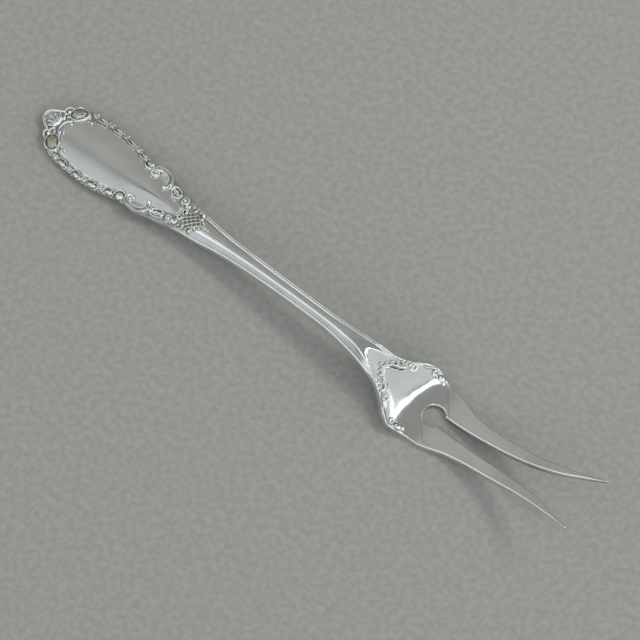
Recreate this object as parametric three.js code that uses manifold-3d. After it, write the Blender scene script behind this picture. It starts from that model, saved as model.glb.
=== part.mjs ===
// Butter fork: a small two-tined serving fork with a scroll-edged handle.
// Every piece is shaped on the flat blank and then bent to the fork's side profile, as the real one is.
// On the blank s runs along the fork from the handle end, v runs across it and h rises from its back.
// Millimetres, +Z up, X along the fork with the tines toward +X, the table at z = 0.
import * as THREE from "three";
import { mergeVertices } from "three/addons/utils/BufferGeometryUtils.js";
import Module from "manifold-3d";

// Lengths along the blank
const HANDLE_LENGTH = 47.5;
const STEM_LENGTH = 50.5;
const HEAD_LENGTH = 18.5;
const TINE_LENGTH = 41.4;

// Widths across the blank
const HANDLE_WIDTH = 16.1;
const STEM_WIDTH = 3.95;
const HEAD_WIDTH = 17.6;
const SLOT_WIDTH = 2.84;
const TINE_SPREAD = 10.1;
const TIP_SPREAD = 13.7;
const TIP_WIDTH = 0.35;
const KEYHOLE_RADIUS = 2.63;

// Thicknesses
const PLATE_THICKNESS = 1.3;
const STEM_THICKNESS = 2.65;
const HEAD_THICKNESS = 1.6;
const TIP_THICKNESS = 0.6;

// Surface forms
const EDGE_ROUND = 0.35;
const PANEL_CROWN = 0.75;
const THREAD_WIDTH = 0.4;
const THREAD_RISE = 0.26;
const STEM_CROWN = 0.4;
const FACET_LENGTH = 3.2;
const HEAD_DISH = 0.9;

// Applied ornament
const SEAT_GAP = 0.06;
const RIM_WIDTH = 1.35;
const RIM_RISE = 0.85;
const RIM_LEAVES = 11;
const ROSETTE_LENGTH = 4.3;
const ROSETTE_WIDTH = 3.3;
const ROSETTE_RISE = 1.1;
const ROSETTE_TURN = 38;
const ROSETTE_CLEARANCE = 0.4;
const SCROLL_WIDTH = 1.1;
const SCROLL_RISE = 0.8;
const VOLUTE_RADIUS = 0.95;
const VOLUTE_WIDTH = 0.42;
const BEAD_RADIUS = 0.55;
const CREST_RISE = 0.8;
const LATTICE_CELL = 0.65;
const LATTICE_RISE = 0.65;

// Slope of the back along the blank, in degrees
const END_SLOPE = 1;
const HANDLE_SLOPE = 4.3;
const STEM_SLOPE = 5.2;
const NECK_SLOPE = -23;
const HEEL_SLOPE = 7;
const TINE_SLOPE = 19;
const TIP_SLOPE = 31.5;

// Depth of the flats worn on the back where the fork stands
const REST_WEAR = 0.12;

const STEM_START = HANDLE_LENGTH;
const HEAD_START = STEM_START + STEM_LENGTH;
const TINE_START = HEAD_START + HEAD_LENGTH;
const TINE_END = TINE_START + TINE_LENGTH;
const LEFT = 1;
const RIGHT = -1;

const wasm = await Module();
wasm.setup();

// A smooth curve through [position, value] stations that never overshoots them.
function profile(stations) {
  const at = stations.map((station) => station[0]);
  const value = stations.map((station) => station[1]);
  const secant = (i) => (value[i + 1] - value[i]) / (at[i + 1] - at[i]);
  const slope = at.map((_, i) => {
    if (i === 0) return secant(0);
    if (i === at.length - 1) return secant(i - 1);
    const before = secant(i - 1);
    const after = secant(i);
    return before * after <= 0 ? 0 : (2 * before * after) / (before + after);
  });
  return (position) => {
    let i = 0;
    while (i < at.length - 2 && position > at[i + 1]) i += 1;
    const span = at[i + 1] - at[i];
    const t = THREE.MathUtils.clamp((position - at[i]) / span, 0, 1);
    const ease = t * t * (3 - 2 * t);
    const bow = t * (1 - t) * span;
    const bend = (1 - t) * slope[i] - t * slope[i + 1];
    return value[i] + (value[i + 1] - value[i]) * ease + bow * bend;
  };
}

// The same curve with its stations given as shares of a stretch of the blank and of a width.
function outline(start, length, width, shares) {
  return profile(shares.map(([along, across]) => [start + along * length, across * width]));
}

function spread(from, to, steps) {
  return Array.from({ length: steps + 1 }, (_, i) => from + ((to - from) * i) / steps);
}

// Side profile: the slope runs smoothly from the handle end over the neck and the heel to the tips.
const slopeAt = profile([
  [0, END_SLOPE],
  [0.3 * HANDLE_LENGTH, HANDLE_SLOPE],
  [0.7 * HANDLE_LENGTH, HANDLE_SLOPE],
  [STEM_START + 0.09 * STEM_LENGTH, 1.33 * STEM_SLOPE],
  [STEM_START + 0.41 * STEM_LENGTH, STEM_SLOPE],
  [STEM_START + 0.72 * STEM_LENGTH, 0.58 * STEM_SLOPE],
  [STEM_START + 0.86 * STEM_LENGTH, -0.29 * STEM_SLOPE],
  [HEAD_START, NECK_SLOPE],
  [HEAD_START + 0.35 * HEAD_LENGTH, 0.9 * NECK_SLOPE],
  [HEAD_START + 0.76 * HEAD_LENGTH, 0.26 * NECK_SLOPE],
  [TINE_START + 0.03 * TINE_LENGTH, HEEL_SLOPE],
  [TINE_START + 0.33 * TINE_LENGTH, TINE_SLOPE],
  [TINE_START + 0.7 * TINE_LENGTH, 0.92 * TIP_SLOPE],
  [TINE_END, TIP_SLOPE],
]);

// Points of the back, tilted and shifted until the handle and the heel both stand on the table.
const SPINE_STEPS = 1600;
const SPINE_STEP = TINE_END / SPINE_STEPS;

function walkSpine(tilt) {
  const points = [{ x: 0, z: 0, angle: 0 }];
  for (let i = 0; i < SPINE_STEPS; i += 1) {
    const angle = THREE.MathUtils.degToRad(slopeAt((i + 0.5) * SPINE_STEP)) + tilt;
    const last = points[i];
    const x = last.x + SPINE_STEP * Math.cos(angle);
    const z = last.z + SPINE_STEP * Math.sin(angle);
    points.push({ x, z, angle });
  }
  points[0].angle = points[1].angle;
  return points;
}

function lowest(points, from, to) {
  const first = Math.floor(from / SPINE_STEP);
  const stretch = points.slice(first, Math.ceil(to / SPINE_STEP));
  return stretch.reduce((low, point) => (point.z < low.z ? point : low));
}

function levelSpine() {
  const TRIES = 8;
  let tilt = 0;
  let points = walkSpine(tilt);
  for (let i = 0; i < TRIES; i += 1) {
    const handle = lowest(points, 0, HANDLE_LENGTH);
    const heel = lowest(points, HEAD_START, TINE_END);
    tilt -= Math.atan2(heel.z - handle.z, heel.x - handle.x);
    points = walkSpine(tilt);
  }
  const drop = lowest(points, HEAD_START, TINE_END).z + REST_WEAR;
  const middle = points[SPINE_STEPS].x / 2;
  return points.map(({ x, z, angle }) => ({ x: x - middle, z: z - drop, angle }));
}

const spine = levelSpine();

function bendPoint(s, v, h) {
  const place = THREE.MathUtils.clamp(s / SPINE_STEP, 0, SPINE_STEPS - 1e-9);
  const i = Math.floor(place);
  const mix = (key) => THREE.MathUtils.lerp(spine[i][key], spine[i + 1][key], place - i);
  const angle = mix("angle");
  return new THREE.Vector3(mix("x") - h * Math.sin(angle), v, mix("z") + h * Math.cos(angle));
}

// A closed body through rings of equal count. Each ring has its flat section and its points on the blank.
function loft(rings) {
  const count = rings[0].section.length;
  const positions = [];
  for (const ring of rings) {
    for (const [s, v, h] of ring.points) positions.push(...bendPoint(s, v, h).toArray());
  }
  const faces = [];
  for (let i = 0; i + 1 < rings.length; i += 1) {
    for (let k = 0; k < count; k += 1) {
      const near = i * count + k;
      const next = i * count + ((k + 1) % count);
      faces.push(near, next, near + count, next, next + count, near + count);
    }
  }
  const last = (rings.length - 1) * count;
  const flat = (ring) => ring.section.map(([across, rise]) => new THREE.Vector2(across, rise));
  for (const [a, b, c] of THREE.ShapeUtils.triangulateShape(flat(rings[0]), [])) faces.push(c, b, a);
  for (const [a, b, c] of THREE.ShapeUtils.triangulateShape(flat(rings.at(-1)), [])) {
    faces.push(last + a, last + b, last + c);
  }
  const geometry = new THREE.BufferGeometry();
  geometry.setAttribute("position", new THREE.Float32BufferAttribute(positions, 3));
  geometry.setIndex(faces);
  return geometry;
}

// A loft whose sections stand square across the blank.
function alongBlank(stations, sectionAt) {
  return loft(
    stations.map((s) => {
      const section = sectionAt(s);
      return { section, points: section.map(([v, h]) => [s, v, h]) };
    }),
  );
}

// A half-round moulding laid along a route of [s, v] points on a surface, tapering to both ends.
const ROUND_SECTION = [
  [-1, 0],
  [1, 0],
  [0.85, 0.6],
  [0.35, 0.95],
  [-0.35, 0.95],
  [-0.85, 0.6],
];

function moulding(route, width, rise, seat, steps) {
  const curve = new THREE.CatmullRomCurve3(route.map(([s, v]) => new THREE.Vector3(s, v, 0)));
  const rings = spread(0, 1, steps).map((t) => {
    const middle = curve.getPoint(t);
    const ahead = curve.getTangent(t);
    const swell = 0.55 + 0.45 * Math.sin(Math.PI * t);
    const half = (width / 2) * swell;
    const section = ROUND_SECTION.map(([across, up]) => [across * half, up * rise * swell]);
    const points = section.map(([across, up]) => {
      const s = middle.x - ahead.y * across;
      const v = middle.y + ahead.x * across;
      return [s, v, seat(s, v) + SEAT_GAP + up];
    });
    return { section, points };
  });
  return loft(rings);
}

// A volute wound on from the last stretch of a route, with a bead in its eye.
// The start angle, in degrees, is seen from the eye; turns below zero wind the other way.
function volute(route, start, turns, seat) {
  const ROUTE_POINTS = 12;
  const STEPS = 24;
  const EYE_SHARE = 0.3;
  const OVERLAP_SHARE = 0.2;
  const [before, last] = route.slice(-2);
  const turned = (share, t) => {
    const angle = THREE.MathUtils.degToRad(start + 360 * turns * t);
    return [share * VOLUTE_RADIUS * Math.cos(angle), share * VOLUTE_RADIUS * Math.sin(angle)];
  };
  const arm = turned(1, 0);
  const joint = [0, 1].map((axis) => THREE.MathUtils.lerp(last[axis], before[axis], OVERLAP_SHARE));
  const eye = joint.map((place, axis) => place - arm[axis]);
  const winding = spread(0, 1, ROUTE_POINTS).map((t) => {
    const [s, v] = turned(THREE.MathUtils.lerp(1, EYE_SHARE, t), t);
    return [eye[0] + s, eye[1] + v];
  });
  return [
    moulding(winding, VOLUTE_WIDTH, SCROLL_RISE, raised(seat, 3), STEPS),
    bead(...eye, raised(seat), 0.6 * BEAD_RADIUS),
  ];
}

// A turned boss standing on the blank at s, v, from a [radius, height] profile that starts and ends on the axis.
// It is drawn out to an oval by its stretch, with the long axis turned from the blank's length.
function boss(s, v, seat, turned, sides, stretch = 1, turn = 0) {
  const profilePoints = turned.map(([radius, up]) => new THREE.Vector2(radius, up));
  const geometry = new THREE.LatheGeometry(profilePoints, sides).rotateX(Math.PI / 2);
  geometry.scale(stretch, 1, 1).rotateZ(THREE.MathUtils.degToRad(turn));
  const points = geometry.attributes.position;
  for (let i = 0; i < points.count; i += 1) {
    const along = s + points.getX(i);
    const across = v + points.getY(i);
    const up = seat(along, across) + SEAT_GAP + points.getZ(i);
    points.setXYZ(i, ...bendPoint(along, across, up).toArray());
  }
  return geometry;
}

// A bead stands a little higher than the moulding it grows from, so that their undersides stay apart.
function bead(s, v, seat, radius) {
  const SIDES = 10;
  const turned = [[0, 0], [radius, 0]];
  for (const turn of spread(0.3, 1, 3)) {
    const angle = (turn * Math.PI) / 2;
    turned.push([radius * Math.cos(angle), radius * (0.2 + Math.sin(angle))]);
  }
  turned[turned.length - 1][0] = 0;
  return boss(s, v, raised(seat), turned, SIDES);
}

function raised(seat, gaps = 1) {
  return (s, v) => seat(s, v) + gaps * SEAT_GAP;
}

function toSolid(geometry) {
  const bare = geometry.clone();
  bare.deleteAttribute("normal");
  bare.deleteAttribute("uv");
  const merged = mergeVertices(bare, 1e-4);
  const vertProperties = merged.attributes.position.array;
  const triVerts = new Uint32Array(merged.index.array);
  return new wasm.Manifold(new wasm.Mesh({ numProp: 3, vertProperties, triVerts }));
}

function toGeometry(solid) {
  const { vertProperties, triVerts } = solid.getMesh();
  const geometry = new THREE.BufferGeometry();
  geometry.setAttribute("position", new THREE.BufferAttribute(vertProperties, 3));
  geometry.setIndex(new THREE.BufferAttribute(triVerts, 1));
  return geometry;
}

function join(geometries) {
  return toGeometry(geometries.map(toSolid).reduce((whole, piece) => whole.add(piece)));
}

function cut(geometry, cutters) {
  return toGeometry(cutters.reduce((rest, cutter) => rest.subtract(toSolid(cutter)), toSolid(geometry)));
}

// Everything below the table, which wears the back flat where the fork stands.
function belowTable() {
  const DEPTH = 10;
  const box = new THREE.BoxGeometry(2 * TINE_END, 2 * (HANDLE_WIDTH + HEAD_WIDTH), DEPTH);
  return box.translate(0, 0, -DEPTH / 2);
}

// Outlines: half widths along the blank, as shares of a stretch and of a half width
const handleHalf = outline(0, HANDLE_LENGTH, HANDLE_WIDTH / 2, [
  [0, 0.09],
  [0.025, 0.22],
  [0.07, 0.35],
  [0.09, 0.6],
  [0.116, 0.76],
  [0.16, 0.88],
  [0.23, 0.965],
  [0.333, 1],
  [0.423, 0.966],
  [0.505, 0.855],
  [0.594, 0.765],
  [0.665, 0.78],
  [0.747, 0.66],
  [0.838, 0.545],
  [0.905, 0.45],
  [1, 0.406],
]);

// The panel is lobed between the rosettes, fullest in the middle and swells again between the C-scrolls.
const panelHalf = outline(0, HANDLE_LENGTH, HANDLE_WIDTH / 2, [
  [0.115, 0.03],
  [0.121, 0.12],
  [0.135, 0.236],
  [0.175, 0.4],
  [0.223, 0.53],
  [0.265, 0.67],
  [0.333, 0.745],
  [0.42, 0.71],
  [0.505, 0.61],
  [0.59, 0.547],
  [0.663, 0.6],
  [0.716, 0.385],
  [0.78, 0.25],
  [0.863, 0.06],
]);

const panelCrown = outline(0, HANDLE_LENGTH, PANEL_CROWN, [
  [0.116, 0],
  [0.15, 0.6],
  [0.32, 1],
  [0.55, 0.95],
  [0.75, 0.5],
  [0.863, 0],
]);

const headHalf = outline(HEAD_START, HEAD_LENGTH, HEAD_WIDTH / 2, [
  [0, 0.42],
  [0.1, 0.5],
  [0.25, 0.68],
  [0.39, 0.905],
  [0.52, 1],
  [0.66, 0.942],
  [0.8, 0.88],
  [0.94, 0.86],
  [1, 0.827],
]);

const stemHalf = profile([
  [STEM_START, handleHalf(STEM_START)],
  [STEM_START + 0.13 * STEM_LENGTH, 0.635 * STEM_WIDTH],
  [STEM_START + 0.31 * STEM_LENGTH, 0.545 * STEM_WIDTH],
  [STEM_START + 0.55 * STEM_LENGTH, 0.5 * STEM_WIDTH],
  [STEM_START + 0.68 * STEM_LENGTH, 0.5 * STEM_WIDTH],
  [STEM_START + 0.84 * STEM_LENGTH, 0.65 * STEM_WIDTH],
  [HEAD_START, headHalf(HEAD_START)],
]);

const stemThickness = profile([
  [STEM_START, PLATE_THICKNESS + THREAD_RISE],
  [STEM_START + 0.3 * STEM_LENGTH, 0.92 * STEM_THICKNESS],
  [STEM_START + 0.7 * STEM_LENGTH, STEM_THICKNESS],
  [HEAD_START, HEAD_THICKNESS + HEAD_DISH * 0.4],
]);

// The threads rise from the plate below the scrolls and run on along the stem.
const plateThread = outline(0, HANDLE_LENGTH, THREAD_RISE, [
  [0.85, 0],
  [0.9, 1],
]);

// The crown swells behind the lattice and is sliced off by a facet that slopes down to the neck.
const FACET_END = HEAD_START - 0.03 * STEM_LENGTH;
const FACET_START = FACET_END - FACET_LENGTH;
const stemCrown = profile([
  [STEM_START, 0],
  [STEM_START + 0.06 * STEM_LENGTH, STEM_CROWN],
  [HEAD_START, STEM_CROWN],
]);
const facetRise = profile([
  [FACET_START, STEM_CROWN],
  [FACET_END, 0],
]);

const tineOuter = profile([
  [TINE_START, headHalf(TINE_START)],
  [TINE_START + 0.053 * TINE_LENGTH, 0.91 * headHalf(TINE_START)],
  [TINE_START + 0.14 * TINE_LENGTH, 0.56 * TINE_SPREAD],
  [TINE_START + 0.3 * TINE_LENGTH, 0.502 * TINE_SPREAD],
  [TINE_START + 0.42 * TINE_LENGTH, 0.498 * TINE_SPREAD],
  [TINE_START + 0.56 * TINE_LENGTH, 0.503 * TINE_SPREAD],
  [TINE_START + 0.7 * TINE_LENGTH, 0.396 * TIP_SPREAD],
  [TINE_START + 0.83 * TINE_LENGTH, 0.442 * TIP_SPREAD],
  [TINE_END, TIP_SPREAD / 2 + TIP_WIDTH / 2],
]);

const tineInner = profile([
  [TINE_START, SLOT_WIDTH / 2],
  [TINE_START + 0.09 * TINE_LENGTH, 0.514 * SLOT_WIDTH],
  [TINE_START + 0.35 * TINE_LENGTH, 0.658 * SLOT_WIDTH],
  [TINE_START + 0.49 * TINE_LENGTH, 0.22 * TINE_SPREAD],
  [TINE_START + 0.62 * TINE_LENGTH, 0.273 * TINE_SPREAD],
  [TINE_START + 0.74 * TINE_LENGTH, 0.262 * TIP_SPREAD],
  [TINE_START + 0.85 * TINE_LENGTH, 0.355 * TIP_SPREAD],
  [TINE_END, TIP_SPREAD / 2 - TIP_WIDTH / 2],
]);

const tineThickness = profile([
  [TINE_START, HEAD_THICKNESS],
  [TINE_START + 0.6 * TINE_LENGTH, 0.9 * HEAD_THICKNESS],
  [TINE_END, TIP_THICKNESS],
]);

const headDish = outline(HEAD_START, HEAD_LENGTH, HEAD_DISH, [
  [0, 0.4],
  [0.33, 1],
  [0.8, 0],
]);

// Surfaces that carry the ornament
function handleTop(s, v) {
  const share = v / panelHalf(s);
  return PLATE_THICKNESS + panelCrown(s) * Math.max(0, 1 - share * share);
}

function ledge() {
  return PLATE_THICKNESS;
}

function headLift(s, v) {
  const share = v / headHalf(s);
  return headDish(s) * Math.min(1, share * share);
}

function headTop(s, v) {
  return HEAD_THICKNESS + headLift(s, v);
}

// A pair of half-round threads beside an edge, from the edge inwards, as [v, h] points.
function threadPair(half, bed, rise, width) {
  const steps = [0, 0.5, 1, 1.5, 2];
  return steps.map((step) => [half - step * width, step % 1 === 0 ? bed : bed + rise]);
}

function mirrorAcross(points) {
  return points.map(([v, h]) => [-v, h]).reverse();
}

// Structural pieces
function handlePlate() {
  const CREST_SHARE = 0.13;
  const PANEL_SHARES = [1, 0.8, 0.45, 0, -0.45, -0.8, -1];
  const crestEnd = CREST_SHARE * HANDLE_LENGTH;
  const stations = [...spread(0, crestEnd, 12), ...spread(crestEnd, HANDLE_LENGTH, 26).slice(1)];
  const plate = alongBlank(stations, (s) => {
    const half = handleHalf(s);
    const panel = panelHalf(s);
    const edge = [
      [half - EDGE_ROUND, 0],
      [half, EDGE_ROUND],
      ...threadPair(half, PLATE_THICKNESS, plateThread(s), Math.min(THREAD_WIDTH, 0.2 * half)),
    ];
    const face = PANEL_SHARES.map((share) => [share * panel, handleTop(s, share * panel)]);
    return [...edge, ...face, ...mirrorAcross(edge)];
  });
  return cut(plate, [belowTable()]);
}

// The stem's face has a pair of threads along each edge and a crown between them.
function stem() {
  const CROWN_SHARES = [0.85, 0.6, 0.3, 0, -0.3, -0.6, -0.85];
  const stations = [...spread(STEM_START, FACET_START, 24), ...spread(FACET_START, HEAD_START, 8).slice(1)];
  return alongBlank(stations, (s) => {
    const half = stemHalf(s);
    const bed = stemThickness(s) - THREAD_RISE;
    const edge = [
      [half - EDGE_ROUND, 0],
      [half, EDGE_ROUND],
      ...threadPair(half, bed, THREAD_RISE, THREAD_WIDTH),
    ];
    const face = CROWN_SHARES.map((share) => {
      const crown = Math.min(stemCrown(s) * (1 - share * share), facetRise(s));
      return [share * (half - 2 * THREAD_WIDTH), bed + crown];
    });
    return [...edge, ...face, ...mirrorAcross(edge)];
  });
}

// The keyhole and the slot that opens from it between the tines, as one cutter through the head.
function keyholeCutters() {
  const OVERRUN = 2;
  const SIDES = 28;
  const keyholeStation = TINE_START - 0.91 * KEYHOLE_RADIUS;
  const height = HEAD_THICKNESS + 2 * OVERRUN;
  const round = new THREE.CylinderGeometry(KEYHOLE_RADIUS, KEYHOLE_RADIUS, height, SIDES);
  round.rotateX(Math.PI / 2).translate(keyholeStation, 0, HEAD_THICKNESS / 2);
  const reach = TINE_START + OVERRUN - keyholeStation;
  const slot = new THREE.BoxGeometry(reach, SLOT_WIDTH, height, 4, 1, 1);
  slot.translate(keyholeStation + reach / 2, 0, HEAD_THICKNESS / 2);
  for (const cutter of [round, slot]) {
    const points = cutter.attributes.position;
    for (let i = 0; i < points.count; i += 1) {
      points.setXYZ(i, ...bendPoint(points.getX(i), points.getY(i), points.getZ(i)).toArray());
    }
  }
  return [round, slot];
}

function head() {
  const SHARES = [-1, -0.75, -0.4, 0, 0.4, 0.75, 1];
  const blank = alongBlank(spread(HEAD_START, TINE_START, 18), (s) => {
    const half = headHalf(s);
    const inset = (half - EDGE_ROUND) / half;
    const back = SHARES.map((share) => [share * inset * half, headLift(s, share * inset * half)]);
    const front = SHARES.toReversed().map((share) => [share * half, headTop(s, share * half)]);
    const edge = headLift(s, half) + EDGE_ROUND;
    return [...back, [half, edge], ...front, [-half, edge]];
  });
  return cut(blank, [...keyholeCutters(), belowTable()]);
}

function tine(hand) {
  const bar = alongBlank(spread(TINE_START, TINE_END, 22), (s) => {
    const inner = tineInner(s);
    const outer = tineOuter(s);
    const top = tineThickness(s);
    const round = Math.min(EDGE_ROUND, 0.3 * (outer - inner), 0.3 * top);
    const section = [
      [inner + round, 0],
      [outer - round, 0],
      [outer, round],
      [outer, top - 0.5 * round],
      [outer - 0.5 * round, top],
      [inner + 0.5 * round, top],
      [inner, top - 0.5 * round],
      [inner, round],
    ];
    return hand === LEFT ? section : mirrorAcross(section);
  });
  return cut(bar, [belowTable()]);
}

// Ornament on the handle
// Where the rosettes stand, and how far their turned ovals reach along and across the blank
const rosetteStation = 0.137 * HANDLE_LENGTH;
const rosetteAngle = THREE.MathUtils.degToRad(ROSETTE_TURN);
const rosetteReach = ovalReach(Math.cos(rosetteAngle), Math.sin(rosetteAngle));
const rosetteSpan = ovalReach(Math.sin(rosetteAngle), Math.cos(rosetteAngle));

function ovalReach(lengthShare, widthShare) {
  return Math.hypot((ROSETTE_LENGTH / 2) * lengthShare, (ROSETTE_WIDTH / 2) * widthShare);
}

// A leaf border: a half-round rim whose crown swells once for each leaf.
function handleRim(hand) {
  const STEPS_PER_LEAF = 4;
  const start = rosetteStation + rosetteReach + ROSETTE_CLEARANCE;
  const end = 0.565 * HANDLE_LENGTH;
  const pitch = (end - start) / RIM_LEAVES;
  return alongBlank(spread(start, end, RIM_LEAVES * STEPS_PER_LEAF), (s) => {
    const outer = handleHalf(s);
    const inner = outer - RIM_WIDTH;
    const base = PLATE_THICKNESS + SEAT_GAP;
    const swell = 0.72 - 0.28 * Math.cos((2 * Math.PI * (s - start)) / pitch);
    const section = [
      [inner, base],
      [outer, base],
      [outer, base + 0.4 * RIM_RISE],
      [outer - 0.3 * RIM_WIDTH, base + RIM_RISE * swell],
      [outer - 0.62 * RIM_WIDTH, base + 0.8 * RIM_RISE * swell],
      [outer - 0.78 * RIM_WIDTH, base + 0.3 * RIM_RISE],
      [inner, base + 0.5 * RIM_RISE],
    ];
    return hand === LEFT ? section : mirrorAcross(section);
  });
}

function rosette(hand) {
  const SIDES = 22;
  const turned = [
    [0, 0],
    [1, 0],
    [1, 0.35],
    [0.86, 0.62],
    [0.72, 0.36],
    [0.6, 0.66],
    [0.36, 0.92],
    [0, 1],
  ].map(([radius, up]) => [(radius * ROSETTE_WIDTH) / 2, up * ROSETTE_RISE]);
  const v = handleHalf(rosetteStation) - rosetteSpan;
  const stretch = ROSETTE_LENGTH / ROSETTE_WIDTH;
  return boss(rosetteStation, hand * v, ledge, turned, SIDES, stretch, hand * ROSETTE_TURN);
}

// A fluted palmette that closes the handle end between the rosettes.
function tipCrest() {
  const FLUTES = 5;
  const STEPS = 6;
  const shares = spread(-1, 1, 2 * FLUTES);
  const end = rosetteStation - rosetteReach - ROSETTE_CLEARANCE;
  return alongBlank(spread(0.012 * HANDLE_LENGTH, end, STEPS), (s) => {
    const half = 0.94 * Math.min(handleHalf(s), 0.36 * HANDLE_WIDTH / 2);
    const base = PLATE_THICKNESS + SEAT_GAP;
    const front = shares.toReversed().map((share, k) => {
      const flute = k % 2 === 0 ? 1 : 0.72;
      return [share * half, base + CREST_RISE * flute * (1 - 0.45 * share * share)];
    });
    return [[-half, base], [half, base], ...front];
  });
}

// A C-scroll between two volutes, run on into a leaf that ends in a third, smaller volute.
function handleScroll(hand) {
  const SCROLL_STEPS = 18;
  const LEAF_STEPS = 9;
  const UPPER_START = 160;
  const LEAF_START = 100;
  const TURNS = 1.2;
  const place = ([s, v]) => [s * HANDLE_LENGTH, (hand * v * HANDLE_WIDTH) / 2];
  const lowerVolute = [0.712, 0.35];
  const scroll = [
    [0.622, 0.62],
    [0.633, 0.68],
    [0.655, 0.7],
    [0.69, 0.66],
    [0.73, 0.55],
    [0.737, 0.42],
    lowerVolute,
  ].map(place);
  const leaf = [
    [0.728, 0.55],
    [0.785, 0.5],
    [0.83, 0.43],
  ].map(place);
  return join([
    moulding(scroll, SCROLL_WIDTH, SCROLL_RISE, handleTop, SCROLL_STEPS),
    moulding(leaf, 0.9 * SCROLL_WIDTH, 0.8 * SCROLL_RISE, raised(handleTop, 2), LEAF_STEPS),
    bead(...place(lowerVolute), handleTop, BEAD_RADIUS),
    ...volute(scroll.toReversed(), hand * UPPER_START, hand * TURNS, handleTop),
    ...volute(leaf, hand * LEAF_START, hand * -TURNS, handleTop),
  ]);
}

// A lozenge of diamond lattice at the waist: its face rises and falls in turn from one crossing to the next.
function latticeCartouche() {
  const ACROSS = 6;
  const EDGE_RISE = 0.3;
  const middle = 0.925 * HANDLE_LENGTH;
  const length = 0.12 * HANDLE_LENGTH;
  const half = 0.22 * (HANDLE_WIDTH / 2);
  const fieldHalf = profile([
    [middle - length / 2, 0.35 * half],
    [middle - length / 6, half],
    [middle + length / 6, 0.9 * half],
    [middle + length / 2, 0.25 * half],
  ]);
  const base = PLATE_THICKNESS + SEAT_GAP;
  const rows = Math.round(length / LATTICE_CELL);
  const stations = spread(middle - length / 2, middle + length / 2, rows);
  return alongBlank(stations, (s) => {
    const row = stations.indexOf(s);
    const edge = fieldHalf(s);
    const face = spread(edge, -edge, ACROSS).map((v, column) => {
      const high = (row + column) % 2 === 0;
      return [v, base + (high ? LATTICE_RISE : EDGE_RISE)];
    });
    return [[-edge, base], [edge, base], ...face];
  });
}

// Ornament on the head
// An ogee arch across the head's root that ends in a volute at each side.
function neckArch() {
  const STEPS = 30;
  const START = 200;
  const TURNS = 1.2;
  const place = ([s, v]) => [HEAD_START + s * HEAD_LENGTH, (v * HEAD_WIDTH) / 2];
  const apex = [0.07, 0];
  const half = [
    [0.12, 0.14],
    [0.19, 0.22],
    [0.215, 0.33],
    [0.222, 0.46],
  ];
  const mirror = ([s, v]) => [s, -v];
  const route = [...half.map(mirror).reverse(), apex, ...half].map(place);
  return join([
    moulding(route, SCROLL_WIDTH, SCROLL_RISE, headTop, STEPS),
    bead(...place(apex), headTop, BEAD_RADIUS),
    ...volute(route, START, -TURNS, headTop),
    ...volute(route.toReversed(), -START, TURNS, headTop),
  ]);
}

// A rolled scroll along the head's shoulder that curls in to a volute, with a bead below it.
function shoulderScroll(hand) {
  const STEPS = 18;
  const START = 110;
  const TURNS = 1.2;
  const place = ([s, v]) => [HEAD_START + s * HEAD_LENGTH, (hand * v * HEAD_WIDTH) / 2];
  const route = [
    [0.34, 0.72],
    [0.38, 0.79],
    [0.43, 0.85],
    [0.48, 0.89],
  ].map(place);
  const drop = [
    [0.5, 0.82],
    [0.56, 0.835],
    [0.61, 0.83],
    [0.65, 0.81],
  ].map(place);
  return join([
    moulding(route, 0.6 * SCROLL_WIDTH, 0.8 * SCROLL_RISE, headTop, STEPS),
    moulding(drop, 0.9 * SCROLL_WIDTH, 0.8 * SCROLL_RISE, raised(headTop, 2), STEPS),
    bead(...place([0.675, 0.8]), headTop, BEAD_RADIUS),
    ...volute(route, hand * START, hand * -TURNS, headTop),
  ]);
}

// Silver, brightest on the polished head and raised ornament, satin on the panel and the tines
const POLISHED = { color: 0xd2d6d4, roughness: 0.16, metalness: 1 };
const SATIN = { color: 0xbfc3be, roughness: 0.34, metalness: 1 };
const TARNISHED = { color: 0xa39f86, roughness: 0.4, metalness: 1 };

function piece(name, geometry, finish) {
  const mesh = new THREE.Mesh(geometry, new THREE.MeshStandardMaterial(finish));
  mesh.name = name;
  geometry.computeVertexNormals();
  return mesh;
}

const fork = new THREE.Group();
fork.add(
  piece("handle_plate", handlePlate(), SATIN),
  piece("stem", stem(), POLISHED),
  piece("head", head(), POLISHED),
  piece("tip_crest", tipCrest(), POLISHED),
  piece("lattice_cartouche", latticeCartouche(), TARNISHED),
  piece("neck_arch", neckArch(), POLISHED),
);
for (const [side, hand] of [["left", LEFT], ["right", RIGHT]]) {
  fork.add(
    piece(`${side}_tine`, tine(hand), SATIN),
    piece(`${side}_handle_rim`, handleRim(hand), POLISHED),
    piece(`${side}_rosette`, rosette(hand), TARNISHED),
    piece(`${side}_handle_scroll`, handleScroll(hand), POLISHED),
    piece(`${side}_shoulder_scroll`, shoulderScroll(hand), POLISHED),
  );
}

export default fork;
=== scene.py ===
"""A two-tined silver butter fork with a scroll-edged handle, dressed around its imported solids.

The fork is worked as a smith works it. Its blank and its ornaments are modelled flat, in millimetres: x runs
along the blank from the handle's end, y across it and z up from its back. Then everything is bent along one
spine, set on the table and turned into metres.
"""
import math

import bpy
import numpy as np
from mathutils import Matrix, Vector


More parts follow.
